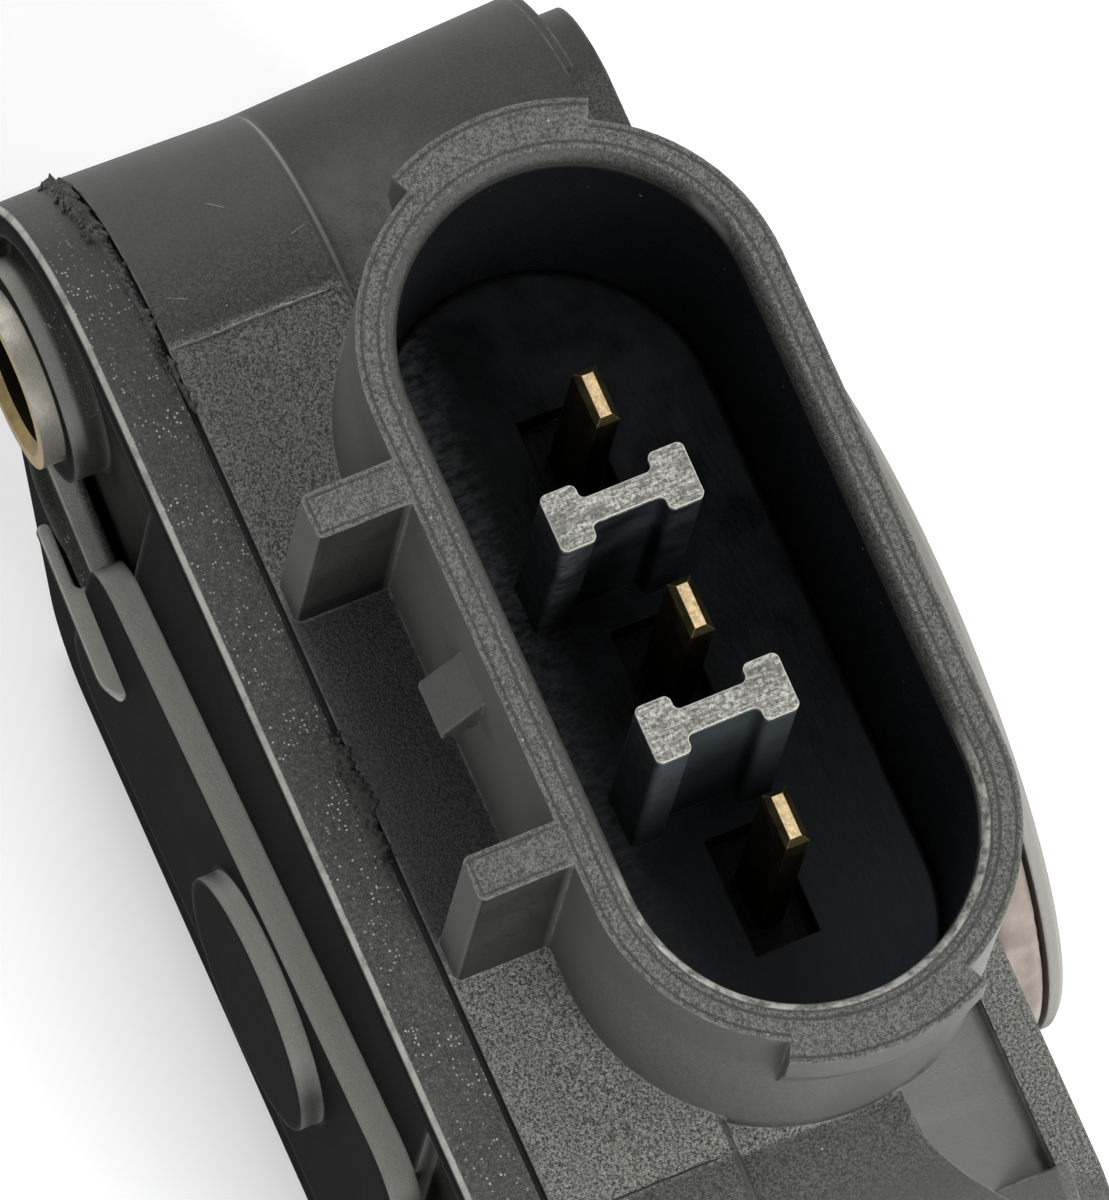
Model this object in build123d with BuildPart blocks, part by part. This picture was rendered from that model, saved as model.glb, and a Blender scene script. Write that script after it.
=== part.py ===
from build123d import *
import os
from math import cos, radians, sin, sqrt, tan

# Throttle position sensor with a sealed three-way connector on top. The mounting face is y = 0
# and the rotor turns about the Y axis. Depths are counted back from the mounting face, towards
# the rear cover, and heights from the rotor axis. All sizes are in millimetres.

# Clearances
press_clearance = 0.02
running_clearance = 0.05
loose_clearance = 0.15

# Body seen along the rotor axis: round ears above, rounded corners at the base
bolt_spacing = 28.8
bolt_outset = 2.3
bolt_rise = 4.5
ear_rise = 5.0
ear_radius = 6.2
draft = 2.0
step_depth = 8.7
step_round = 0.3
base_drop = 10.4
base_trim = 0.15
base_half_width = 12.3
base_corner = 3.0
ear_spacing = bolt_spacing - 2 * bolt_outset
body_top = ear_rise + ear_radius
half_length = ear_spacing / 2 + ear_radius
bolt_places = [(-bolt_spacing / 2, bolt_rise), (bolt_spacing / 2, bolt_rise)]

# Lower front part of the body
boss_drop = 0.9
boss_radius = 6.7
boss_setback = 1.1
boss_top = ear_rise - boss_drop + boss_radius

# Seam between body and cover, filled by a bead
seam_depth = 13.62
seam_gap = 0.18
bead_inset = 0.3
bead_width = 0.6
cover_front = seam_depth + seam_gap
seam_growth = tan(radians(draft)) * (seam_depth - step_depth)

# Mounting flange and the slope behind it
flange_thickness = 1.3
flange_top = 8.0
pad_radius = 3.6
slope_depth = 4.4
slope_foot = 6.6
slope_foot_round = 0.9
flange_half_length = bolt_spacing / 2 + sqrt(pad_radius**2 - (flange_top - bolt_rise) ** 2)

# Pilot hub with a seal in its groove
hub_radius = 9.8
hub_height = 2.2
hub_chamfer = 0.15
land_radius = 10.0
land_height = 0.3
groove_radius = 8.7
groove_width = 1.45
seal_radius = 9.97
seal_thickness = 1.35
seal_round = 0.45
mouth_radius = 4.6
lip_back = land_height + groove_width

# Metal tubes in the ears
bushing_radius = 2.35
bushing_bore_radius = 1.75
bushing_reach = 0.6
bushing_chamfer = 0.25

# Connector shroud
shroud_depth = 5.5
shroud_radius = 5.5
shroud_half_span = 6.7
shroud_wall = 1.05
rim_height = 19.2
rim_lip_round = 0.45
end_pad_rise = 0.55
end_pad_half_angle = 26
end_pad_height = 1.4
end_pad_run_out = 2.6
rail_offset = 4.95
rail_thickness = 1.2
rail_length = 2.5
rail_round = 0.2
latch_x = -0.2
latch_width = 1.45
latch_start = 2.2
latch_drop = 1.5
latch_rise = 1.0
latch_lip = 0.45
cavity_radius = shroud_radius - shroud_wall
shroud_back = shroud_depth + shroud_radius

# Terminal carrier on the socket floor
carrier_seat = 7.4
carrier_thickness = 2.0
carrier_flange = 0.7
well_half_span = 3.9
pocket_length = 3.2
pocket_width = 1.75
pocket_depth = 1.05
post_drop = 1.75
post_length = 3.85
post_bar_length = 1.55
post_bar_width = 0.95
post_web = 0.68
post_round = 0.18
post_depth = 5.85
carrier_floor = carrier_seat + carrier_thickness
carrier_ledge = carrier_floor - carrier_flange

# Blade terminals
pin_pitch = 5.8
pin_depth = 5.15
blade_width = 1.5
blade_thickness = 0.64
tip_drop = 3.0
tip_chamfer = 0.17
foot_length = 1.6
pin_places = [-pin_pitch, 0, pin_pitch]

# Rotor chamber
chamber_radius = 7.6
ceiling_wall = 0.7
top_wall = 1.2
tab_half_width = 7.2
ceiling = carrier_seat - ceiling_wall
tall_ceiling = body_top - top_wall

# Element: backing board with a printed film on its front
board_inset = 0.25
board_thickness = 0.7
film_thickness = 0.12
board_hole_radius = 2.0
film_inner_radius = 3.2
film_outer_radius = 6.6
board_back = seam_depth - board_inset
board_front = board_back - board_thickness
tall_front = board_front - blade_thickness - loose_clearance

# Wiper arm, at rest at one end of its travel
travel = 100
arm_gap = 0.8
arm_thickness = 1.2
arm_hub_radius = 2.3
arm_reach = 6.8
arm_width = 3.4
wiper_radii = [5.75, 4.2]
wiper_width = 0.9
wiper_thickness = 0.15
wiper_length = 2.6
contact_length = 0.5
arm_back = board_front - arm_gap
arm_front = arm_back - arm_thickness
arm_turn = radians(travel / 2)
arm_plane = Plane(origin=(0, 0, 0), x_dir=(cos(arm_turn), 0, sin(arm_turn)), z_dir=(0, -1, 0))

# Return spring
wire_radius = 0.2
coil_radius = 2.05
coil_pitch = 0.5
coil_turns = 4
coil_gap = 0.38
leg_reach = 4.4
stud_radius = 0.55
stud_lap = 0.3
coil_length = coil_pitch * (coil_turns + travel / 720)
coil_front = arm_front - coil_gap - wire_radius - coil_length
stud_offset = stud_radius + wire_radius + press_clearance

# Rotor, its bearing and seals
barrel_radius = 2.1
barrel_run_out = 0.4
bush_wall = 0.45
bush_front = 2.2
seal_back = 1.6
web_gap = 0.3
washer_thickness = 0.3
washer_radius = 4.0
head_radius = 4.2
head_thickness = 0.8
head_gap = 0.05
drive_slot_width = 1.8
drive_slot_length = 6.2
drive_pocket_length = 3.0
drive_pocket_depth = 3.0
spring_seat_radius = 1.5
spigot_radius = 1.1
bush_radius = barrel_radius + running_clearance + bush_wall
head_back = washer_thickness + head_gap
spring_seat_front = coil_front - wire_radius - loose_clearance
chamber_front = spring_seat_front - barrel_run_out

# Outside of the rear cover
cover_thickness = 1.75
cover_round = 0.35
recess_rim = 0.8
recess_depth = 0.55
recess_bottom = -4.2
recess_corner = 1.2
field_half_length = 8.6
ring_radius = 2.95
ring_rise = 0.4
panel_half_length = 9.4
panel_left_top = 4.3
panel_right_top = 6.8
panel_bottom = -4.4
panel_corner = 1.6
panel_rise = 0.8
knob_x = 2.1
knob_z = 1.8
knob_radius = 3.4
knob_rise = 0.6
cover_depth = cover_front + cover_thickness
ring_depth = cover_depth + ring_rise
panel_depth = cover_depth + panel_rise
bushing_length = ring_depth + bushing_reach


def body_profile(rise, radius, inset, spacing):
    """Ears and base corners joined by tangent lines, drawn flat."""
    corner_x = base_half_width - base_corner
    corner_z = base_corner - base_drop - base_trim
    with BuildSketch() as profile:
        with Locations((-spacing / 2, rise), (spacing / 2, rise)):
            Circle(radius - inset)
        with Locations((-corner_x, corner_z), (corner_x, corner_z)):
            Circle(base_corner - inset)
        make_hull()
    return profile.sketch


def body_outline(depth, rise=ear_rise, radius=ear_radius, inset=0.0, spacing=ear_spacing):
    """The body's profile across the rotor axis."""
    with BuildSketch(Plane.XZ.offset(depth)) as outline:
        add(body_profile(rise, radius, inset, spacing))
    return outline.sketch


def recess_outline(depth):
    """Hollow in each ear of the cover, beside the middle field and above a shelf."""
    with BuildSketch(Plane.XZ.offset(depth)) as outline:
        add(body_profile(ear_rise, ear_radius, recess_rim - seam_growth, ear_spacing))
        with Locations((0, recess_bottom - half_length)):
            Rectangle(3 * half_length, 2 * half_length, mode=Mode.SUBTRACT)
        Rectangle(2 * field_half_length, 2 * half_length, mode=Mode.SUBTRACT)
        fillet(outline.vertices().group_by(Axis.Y)[0], recess_corner)
    return outline.sketch


def chamber_outline(depth, inset=0.0):
    """Round chamber under the socket floor, seen along the rotor axis."""
    with BuildSketch(Plane.XZ.offset(depth)) as outline:
        Circle(chamber_radius - inset)
        with Locations((0, ceiling - inset - chamber_radius)):
            Rectangle(2 * chamber_radius, 2 * chamber_radius, mode=Mode.INTERSECT)
    return outline.sketch


def tall_chamber_outline(depth, inset=0.0):
    """The chamber and the space above it that holds the board's contact edge."""
    with BuildSketch(Plane.XZ.offset(depth)) as outline:
        Circle(chamber_radius - inset)
        with Locations((0, ceiling - inset - chamber_radius)):
            Rectangle(2 * chamber_radius, 2 * chamber_radius, mode=Mode.INTERSECT)
        with Locations((0, (tall_ceiling - inset) / 2)):
            Rectangle(2 * (tab_half_width - inset), tall_ceiling - inset)
    return outline.sketch


def socket_outline(height, inset=0.0, half_span=shroud_half_span):
    """Oval of the connector socket, seen from above."""
    with BuildSketch(Plane.XY.offset(height)) as oval:
        with Locations((0, -shroud_depth)):
            SlotCenterToCenter(2 * half_span, 2 * (shroud_radius - inset))
    return oval.sketch


def bolt_circles(depth, radius):
    """A circle on each bolt axis."""
    with BuildSketch(Plane.XZ.offset(depth)) as circles:
        with Locations(*bolt_places):
            Circle(radius)
    return circles.sketch


# Housing: body, flange, hub and shroud in one moulding
with BuildPart() as housing:
    extrude(body_outline(step_depth), amount=seam_depth - step_depth, taper=-draft)
    fillet(housing.faces().sort_by(Axis.Y)[-1].edges(), step_round)
    boss_run = step_depth - boss_setback + step_round
    extrude(body_outline(boss_setback, ear_rise - boss_drop, boss_radius), amount=boss_run, taper=draft)
    # Flange plate, flat along its top
    extrude(body_outline(0, bolt_rise, pad_radius, spacing=bolt_spacing), amount=flange_thickness)
    # Slope from the body down to the back of the flange plate
    with BuildSketch(Plane.YZ.offset(-flange_half_length)) as slope:
        with BuildLine():
            Polyline(
                (-slope_depth, boss_top),
                (-flange_thickness, slope_foot),
                (-flange_thickness, body_top + 1),
                (-slope_depth, body_top + 1),
                close=True,
            )
        make_face()
        fillet(slope.vertices().sort_by(Axis.Y)[0], slope_foot_round)
    extrude(amount=2 * flange_half_length, mode=Mode.SUBTRACT)
    with BuildSketch(Plane.XZ):
        with Locations((0, flange_top + half_length / 2)):
            Rectangle(2 * flange_half_length, half_length)
    extrude(amount=flange_thickness, mode=Mode.SUBTRACT)
    # Shroud, with a thicker pad at each end of its rim
    extrude(socket_outline(slope_foot), amount=rim_height - slope_foot)
    for side in (0, 180):
        end_x = shroud_half_span * cos(radians(side))
        start = radians(side - end_pad_half_angle)
        pad_plane = Plane(
            origin=(end_x, -shroud_depth, rim_height),
            x_dir=(cos(start), sin(start), 0),
            z_dir=(sin(start), -cos(start), 0),
        )
        with BuildSketch(pad_plane):
            with BuildLine():
                Polyline(
                    (cavity_radius + shroud_wall / 2, 0),
                    (shroud_radius + end_pad_rise, 0),
                    (shroud_radius + end_pad_rise, -end_pad_height),
                    (shroud_radius, -end_pad_height - end_pad_run_out),
                    (cavity_radius + shroud_wall / 2, -end_pad_height - end_pad_run_out),
                    close=True,
                )
            make_face()
        revolve(
            axis=Axis((end_x, -shroud_depth, 0), (0, 0, 1)),
            revolution_arc=2 * end_pad_half_angle,
        )
    # Guide rails and the latch ramp between them
    rail_root = shroud_back - shroud_wall / 2
    rail_run = rail_length + shroud_wall / 2
    rail_middle = -rail_root - rail_run / 2
    with BuildSketch(Plane.XY.offset(body_top - step_round)) as rails:
        with Locations((-rail_offset, rail_middle), (rail_offset, rail_middle)):
            Rectangle(rail_thickness, rail_run)
        fillet(rails.vertices().group_by(Axis.Y)[0], rail_round)
    extrude(amount=rim_height - body_top + step_round)
    latch_top = rim_height - latch_start
    with BuildSketch(Plane.YZ.offset(latch_x - latch_width / 2)):
        with BuildLine():
            Polyline(
                (-shroud_back, latch_top),
                (-shroud_back - latch_rise, latch_top - latch_drop),
                (-shroud_back - latch_rise, latch_top - latch_drop - latch_lip),
                (-shroud_back + shroud_wall / 2, latch_top - latch_drop - latch_lip),
                (-shroud_back + shroud_wall / 2, latch_top),
                close=True,
            )
        make_face()
    extrude(amount=latch_width)
    # Hub with a groove for its seal
    with BuildSketch(Plane.XY) as hub_profile:
        with BuildLine():
            Polyline(
                (0, -flange_thickness),
                (land_radius, -flange_thickness),
                (land_radius, land_height),
                (groove_radius, land_height),
                (groove_radius, lip_back),
                (hub_radius, lip_back),
                (hub_radius, hub_height - hub_chamfer),
                (hub_radius - hub_chamfer, hub_height),
                (0, hub_height),
                close=True,
            )
        make_face()
    revolve(axis=Axis.Y)
    # Socket with a rounded lip inside its rim, and a shorter well under its floor
    socket_run = rim_height - carrier_ledge
    extrude(socket_outline(carrier_ledge, shroud_wall), amount=socket_run, mode=Mode.SUBTRACT)
    fillet(housing.edges(Select.LAST).group_by(Axis.Z)[-1], rim_lip_round)
    extrude(
        socket_outline(carrier_seat, shroud_wall, well_half_span),
        amount=carrier_thickness - carrier_flange,
        mode=Mode.SUBTRACT,
    )
    # Stepped bore for washer, seal and bearing, from the hub's mouth to the chamber
    with BuildSketch(Plane.XY) as bore_profile:
        with BuildLine():
            Polyline(
                (0, hub_height),
                (mouth_radius, hub_height),
                (mouth_radius, 0),
                (bush_radius + press_clearance, 0),
                (bush_radius + press_clearance, -seal_back),
                (barrel_radius + web_gap, -seal_back),
                (barrel_radius + web_gap, -bush_front),
                (bush_radius + press_clearance, -bush_front),
                (bush_radius + press_clearance, -chamber_front),
                (0, -chamber_front),
                close=True,
            )
        make_face()
    revolve(axis=Axis.Y, mode=Mode.SUBTRACT)
    extrude(chamber_outline(chamber_front), amount=seam_depth - chamber_front, mode=Mode.SUBTRACT)
    extrude(tall_chamber_outline(tall_front), amount=seam_depth - tall_front, mode=Mode.SUBTRACT)
    # Slots that let the terminals into the chamber
    slot_height = blade_thickness + press_clearance
    with BuildSketch(Plane.XZ.offset(shroud_depth)):
        with Locations(*[(x, carrier_seat + slot_height / 2) for x in pin_places]):
            Rectangle(blade_width + 2 * press_clearance, slot_height)
    extrude(amount=tall_front - shroud_depth, mode=Mode.SUBTRACT)
    extrude(bolt_circles(0, bushing_radius + press_clearance), amount=seam_depth, mode=Mode.SUBTRACT)
    split(bisect_by=Plane.XY.offset(-base_drop), keep=Keep.TOP)
    # Post that the spring's fixed leg bears on
    with BuildSketch(Plane.XZ.offset(chamber_front)):
        with Locations((-stud_offset, stud_radius - leg_reach)):
            Circle(stud_radius)
    extrude(amount=coil_front + wire_radius + stud_lap - chamber_front)
housing.part.label = "housing"

# Rear cover: plate with cored ears, a raised panel and a plug that holds the board
with BuildPart() as rear_cover:
    extrude(body_outline(cover_front, inset=-seam_growth), amount=cover_thickness)
    fillet(rear_cover.faces().sort_by(Axis.Y)[0].edges(), cover_round)
    recess_floor = cover_depth - recess_depth
    extrude(recess_outline(recess_floor), amount=recess_depth, mode=Mode.SUBTRACT)
    # Panel on the middle field, with a round knob on it
    with BuildSketch(Plane.XZ.offset(cover_depth)) as panel:
        with BuildLine():
            Polyline(
                (-panel_half_length, panel_bottom),
                (panel_half_length, panel_bottom),
                (panel_half_length, panel_right_top),
                (-panel_half_length, panel_left_top),
                close=True,
            )
        make_face()
        fillet(panel.vertices(), panel_corner)
    extrude(amount=panel_rise)
    with BuildSketch(Plane.XZ.offset(panel_depth)):
        with Locations((knob_x, knob_z)):
            Circle(knob_radius)
    extrude(amount=knob_rise)
    extrude(bolt_circles(recess_floor, ring_radius), amount=ring_rise + recess_depth)
    extrude(tall_chamber_outline(board_back, loose_clearance), amount=cover_front - board_back)
    extrude(bolt_circles(0, bushing_radius + press_clearance), amount=ring_depth, mode=Mode.SUBTRACT)
    split(bisect_by=Plane.XY.offset(-base_drop), keep=Keep.TOP)
rear_cover.part.label = "rear_cover"

# Bead that closes the seam all round
with BuildPart() as cover_seal:
    bead_outside = bead_inset - seam_growth
    extrude(body_outline(seam_depth, inset=bead_outside), amount=seam_gap)
    extrude(body_outline(seam_depth, inset=bead_outside + bead_width), amount=seam_gap, mode=Mode.SUBTRACT)
    split(bisect_by=Plane.XY.offset(-base_drop), keep=Keep.TOP)
cover_seal.part.label = "cover_seal"

# Seal ring in the hub's groove
with BuildPart() as hub_seal:
    seal_inside = groove_radius + press_clearance
    with BuildSketch(Plane.XY) as ring_profile:
        with Locations(((seal_radius + seal_inside) / 2, land_height + seal_thickness / 2)):
            Rectangle(seal_radius - seal_inside, seal_thickness)
        fillet(ring_profile.vertices().group_by(Axis.X)[-1], seal_round)
    revolve(axis=Axis.Y)
hub_seal.part.label = "hub_seal"

# Metal tubes that carry the clamp load of the bolts
bushings = {}
for side, place in zip(("left", "right"), bolt_places):
    with BuildPart() as bushing:
        with BuildSketch(Plane.XZ):
            with Locations(place):
                Circle(bushing_radius)
                Circle(bushing_bore_radius, mode=Mode.SUBTRACT)
        extrude(amount=bushing_length)
        chamfer(bushing.edges().filter_by(GeomType.CIRCLE).sort_by(SortBy.RADIUS)[:2], bushing_chamfer)
    bushing.part.label = "ear_bushing_" + side
    bushings[side] = bushing.part

# Terminal carrier: oval insert with pin pockets and two keying posts
with BuildPart() as terminal_carrier:
    extrude(socket_outline(carrier_ledge, shroud_wall + press_clearance), amount=carrier_flange)
    extrude(
        socket_outline(carrier_seat, shroud_wall + press_clearance, well_half_span),
        amount=carrier_thickness - carrier_flange,
    )
    with BuildSketch(Plane.XY.offset(carrier_floor)):
        with Locations(*[(x, -pin_depth) for x in pin_places]):
            Rectangle(pocket_length, pocket_width)
    extrude(amount=-pocket_depth, mode=Mode.SUBTRACT)
    with BuildSketch(Plane.XY.offset(carrier_floor)) as posts:
        with Locations((-pin_pitch / 2, -post_depth), (pin_pitch / 2, -post_depth)):
            Rectangle(post_web, post_length)
            bar_offset = (post_length - post_bar_width) / 2
            with Locations((0, -bar_offset), (0, bar_offset)):
                Rectangle(post_bar_length, post_bar_width)
        fillet(posts.vertices(), post_round)
    extrude(amount=rim_height - post_drop - carrier_floor)
    # Blade holes, and grooves underneath for the bent tails
    with BuildSketch(Plane.XY.offset(carrier_seat)):
        with Locations(*[(x, -pin_depth) for x in pin_places]):
            Rectangle(blade_width, blade_thickness)
    extrude(amount=carrier_thickness, mode=Mode.SUBTRACT)
    with BuildSketch(Plane.XZ.offset(pin_depth - blade_thickness / 2)):
        with Locations(*[(x, carrier_seat + blade_thickness / 2) for x in pin_places]):
            Rectangle(blade_width, blade_thickness)
    extrude(amount=shroud_back, mode=Mode.SUBTRACT)
terminal_carrier.part.label = "terminal_carrier"

# Blade terminals, bent back under the carrier to the board
terminals = []
blade_front = -pin_depth + blade_thickness / 2
for number, x in enumerate(pin_places, start=1):
    with BuildPart() as terminal:
        with BuildSketch(Plane.YZ.offset(x - blade_width / 2)):
            with BuildLine():
                Polyline(
                    (blade_front, rim_height - tip_drop),
                    (blade_front, carrier_seat),
                    (-board_front + blade_thickness, carrier_seat),
                    (-board_front + blade_thickness, carrier_seat + blade_thickness - foot_length),
                    (-board_front, carrier_seat + blade_thickness - foot_length),
                    (-board_front, carrier_seat + blade_thickness),
                    (blade_front - blade_thickness, carrier_seat + blade_thickness),
                    (blade_front - blade_thickness, rim_height - tip_drop),
                    close=True,
                )
            make_face()
        extrude(amount=blade_width)
        chamfer(terminal.faces().sort_by(Axis.Z)[-1].edges(), tip_chamfer)
    terminal.part.label = "terminal_" + str(number)
    terminals.append(terminal.part)

# Backing board of the resistive element
with BuildPart() as element_board:
    extrude(tall_chamber_outline(board_front, loose_clearance), amount=board_thickness)
    with BuildSketch(Plane.XZ.offset(board_front)):
        Circle(board_hole_radius)
    extrude(amount=board_thickness, mode=Mode.SUBTRACT)
element_board.part.label = "element_board"

# Film with the printed tracks, an arc round the lower half of the board
with BuildPart() as element_film:
    with BuildSketch(Plane.XZ.offset(board_front - film_thickness)):
        Circle(film_outer_radius)
        Circle(film_inner_radius, mode=Mode.SUBTRACT)
        with Locations((0, -film_outer_radius / 2)):
            Rectangle(2 * film_outer_radius, film_outer_radius, mode=Mode.INTERSECT)
    extrude(amount=film_thickness)
element_film.part.label = "element_film"

# Rotor: drive head in the hub's mouth, barrel, spring seat and spigot for the arm
with BuildPart() as rotor:
    with BuildSketch(Plane.XY):
        with BuildLine():
            Polyline(
                (0, head_back + head_thickness),
                (head_radius, head_back + head_thickness),
                (head_radius, head_back),
                (barrel_radius, head_back),
                (barrel_radius, -spring_seat_front),
                (spring_seat_radius, -spring_seat_front),
                (spring_seat_radius, -arm_front),
                (spigot_radius, -arm_front),
                (spigot_radius, -arm_back),
                (0, -arm_back),
                close=True,
            )
        make_face()
    revolve(axis=Axis.Y)
    with BuildSketch(Plane.XZ.offset(-head_back - head_thickness)):
        Rectangle(drive_slot_length, drive_slot_width)
    extrude(amount=head_thickness, mode=Mode.SUBTRACT)
    with BuildSketch(Plane.XZ.offset(-head_back - head_thickness)):
        Rectangle(drive_pocket_length, drive_slot_width)
    extrude(amount=head_thickness + drive_pocket_depth, mode=Mode.SUBTRACT)
rotor.part.label = "rotor"

# Plain rings round the rotor: bearing, seal and washer
rings = {}
ring_sizes = {
    "rotor_bush": (barrel_radius + running_clearance, bush_radius, bush_front, chamber_front),
    "rotor_seal": (barrel_radius + running_clearance, bush_radius, 0, seal_back),
    "thrust_washer": (barrel_radius + web_gap, washer_radius, -washer_thickness, 0),
}
for ring_name, (inner, outer, front, back) in ring_sizes.items():
    with BuildPart() as ring:
        with BuildSketch(Plane.XZ.offset(front)):
            Circle(outer)
            Circle(inner, mode=Mode.SUBTRACT)
        extrude(amount=back - front)
    ring.part.label = ring_name
    rings[ring_name] = ring.part

# Wiper arm, drawn hanging down and turned to the start of its travel
with BuildPart() as wiper_carrier:
    with BuildSketch(arm_plane.offset(arm_front)):
        Circle(arm_hub_radius)
        with Locations((0, -arm_reach / 2)):
            Rectangle(arm_width, arm_reach)
        Circle(arm_reach, mode=Mode.INTERSECT)
        Circle(spigot_radius + press_clearance, mode=Mode.SUBTRACT)
    extrude(amount=arm_thickness)
    # Stud that pushes the spring's free leg
    with BuildSketch(arm_plane.offset(arm_front)):
        with Locations((stud_offset, stud_radius - leg_reach)):
            Circle(stud_radius)
    extrude(amount=coil_front + coil_length - wire_radius - stud_lap - arm_front)
wiper_carrier.part.label = "wiper_carrier"

# Wipers: a flat foot on the arm, then a finger that slopes to the film
wipers = {}
wiper_drop = board_front - film_thickness - running_clearance - arm_back
for wiper_name, radius in zip(("outer", "inner"), wiper_radii):
    finger_plane = Plane(
        origin=arm_plane.from_local_coords((0, -radius - wiper_width / 2, arm_back)),
        x_dir=arm_plane.x_dir,
        z_dir=arm_plane.y_dir,
    )
    with BuildPart() as wiper:
        with BuildSketch(finger_plane):
            with BuildLine():
                Polyline(
                    (-wiper_length / 2, 0),
                    (0, 0),
                    (wiper_length / 2, -wiper_drop + wiper_thickness),
                    (wiper_length / 2 + contact_length, -wiper_drop + wiper_thickness),
                    (wiper_length / 2 + contact_length, -wiper_drop),
                    (wiper_length / 2, -wiper_drop),
                    (0, -wiper_thickness),
                    (-wiper_length / 2, -wiper_thickness),
                    close=True,
                )
            make_face()
        extrude(amount=wiper_width)
    wiper.part.label = "wiper_" + wiper_name
    wipers[wiper_name] = wiper.part

# Return spring: a close coil with a fixed leg that hangs down and a free leg beside the arm
with BuildPart() as return_spring:
    with BuildLine():
        coil = Helix(
            coil_pitch,
            coil_length,
            coil_radius,
            center=(0, -coil_front, 0),
            direction=(0, -1, 0),
        )
    with BuildSketch(Plane(coil @ 0, z_dir=coil % 0)):
        Circle(wire_radius)
    sweep(path=coil)
    for turn, leg_depth in ((0, coil_front), (arm_turn, coil_front + coil_length)):
        leg_root = (coil_radius * sin(turn), -leg_depth, -coil_radius * cos(turn))
        with BuildSketch(Plane(leg_root, z_dir=(sin(turn), 0, -cos(turn)))):
            Circle(wire_radius)
        extrude(amount=leg_reach - coil_radius)
return_spring.part.label = "return_spring"

os.makedirs("parts", exist_ok=True)
pieces = [
    housing.part,
    rear_cover.part,
    cover_seal.part,
    hub_seal.part,
    *bushings.values(),
    terminal_carrier.part,
    *terminals,
    element_board.part,
    element_film.part,
    rotor.part,
    *rings.values(),
    wiper_carrier.part,
    *wipers.values(),
    return_spring.part,
]
for piece in pieces:
    export_step(piece, "parts/" + piece.label + ".step")
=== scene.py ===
"""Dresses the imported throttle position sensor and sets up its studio. Lengths are in millimetres
of the row frame until they reach Blender, which works in metres."""
import math
import random

import bpy
from mathutils import Euler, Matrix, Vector, noise


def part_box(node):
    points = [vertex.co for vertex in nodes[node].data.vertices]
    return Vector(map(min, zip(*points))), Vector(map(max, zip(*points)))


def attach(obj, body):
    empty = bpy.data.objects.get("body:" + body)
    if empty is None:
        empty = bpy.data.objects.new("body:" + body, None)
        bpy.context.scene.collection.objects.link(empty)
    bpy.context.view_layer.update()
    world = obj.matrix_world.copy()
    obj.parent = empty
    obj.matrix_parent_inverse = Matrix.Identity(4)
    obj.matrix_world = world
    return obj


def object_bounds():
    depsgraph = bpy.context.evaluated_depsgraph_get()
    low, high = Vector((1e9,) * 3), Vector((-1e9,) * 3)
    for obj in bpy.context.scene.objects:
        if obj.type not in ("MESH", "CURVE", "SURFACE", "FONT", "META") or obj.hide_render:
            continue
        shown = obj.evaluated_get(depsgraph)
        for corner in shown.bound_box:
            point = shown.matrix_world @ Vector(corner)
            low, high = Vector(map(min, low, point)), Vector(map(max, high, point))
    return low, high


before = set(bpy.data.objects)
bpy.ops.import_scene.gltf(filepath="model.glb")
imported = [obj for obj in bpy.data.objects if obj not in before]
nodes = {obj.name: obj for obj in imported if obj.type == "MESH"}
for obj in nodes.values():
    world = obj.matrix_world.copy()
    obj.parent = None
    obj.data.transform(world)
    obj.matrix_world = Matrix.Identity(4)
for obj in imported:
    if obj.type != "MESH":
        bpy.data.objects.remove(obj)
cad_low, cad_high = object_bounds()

MM = 0.001


def box_mm(node):
    """Lowest and highest corner of a CAD node, in millimetres."""
    low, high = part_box(node)
    return low / MM, high / MM


def grey(value):
    """The plastic's slightly warm grey."""
    return (value, value, value * 0.9, 1)


# Places read from the frame
rim_height = box_mm("housing")[1].z
carrier_low, carrier_high = box_mm("terminal_carrier")
cover_high = box_mm("rear_cover")[1]
seam_y = box_mm("cover_seal")[1].y
pin_top_z = box_mm("terminal_2")[1].z
bushing_low, bushing_high = box_mm("ear_bushing_right")
bolt_x = (bushing_low.x + bushing_high.x) / 2
bolt_z = (bushing_low.z + bushing_high.z) / 2
bushing_radius = (bushing_high.x - bushing_low.x) / 2
floor_height = cad_low.z / MM
socket_y = (carrier_low.y + carrier_high.y) / 2
socket_radius = (carrier_high.y - carrier_low.y) / 2
socket_half_span = carrier_high.x - socket_radius

# Round ears, the step from which the round front part (boss) goes on, its slope and the flange
ear_x = 12.1
ear_radius = cover_high.x - ear_x
ear_z = cover_high.z - ear_radius
ear_draft = math.tan(math.radians(2))
step_y = -8.7
boss_radius = 6.7
boss_z = 4.1
boss_crest_z = boss_z + boss_radius
slope_back_y = -4.4
slope_foot_z = 6.6
flange_back_y = -1.3

# Outside of the socket's rim with a pad at each end, the rails and the latch behind it, the wells
shroud_radius = 5.5
shroud_back_y = socket_y - shroud_radius
pad_rise = 0.55
pad_slope = math.tan(math.radians(26))
rail_x = 4.95
rail_half = 0.6
rail_end_y = -13.5
latch_x = (-0.95, 0.55)
latch_y = (-12.2, -11.02)
latch_foot_z = (14.5, 14.8)
well_level = 9.4

# Outer edge of the cover's strip, and the lug on the cover's back below the left bolt hole
cover_edge_y = -15.55
lug_root_y = -15.35
lug_foot_y = -14.8
lug_top_z = 1.6
lug_bottom_z = -1.8
lug_left_x = -13.4
lug_right_x = -6.6
lug_level_x = -10
lug_slope = 0.35
lug_tilt = 0.2
lug_taper = 0.92
lug_back_y = -16.08
lug_edge_radius = 0.1
lug_edge_angle = 40

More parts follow.
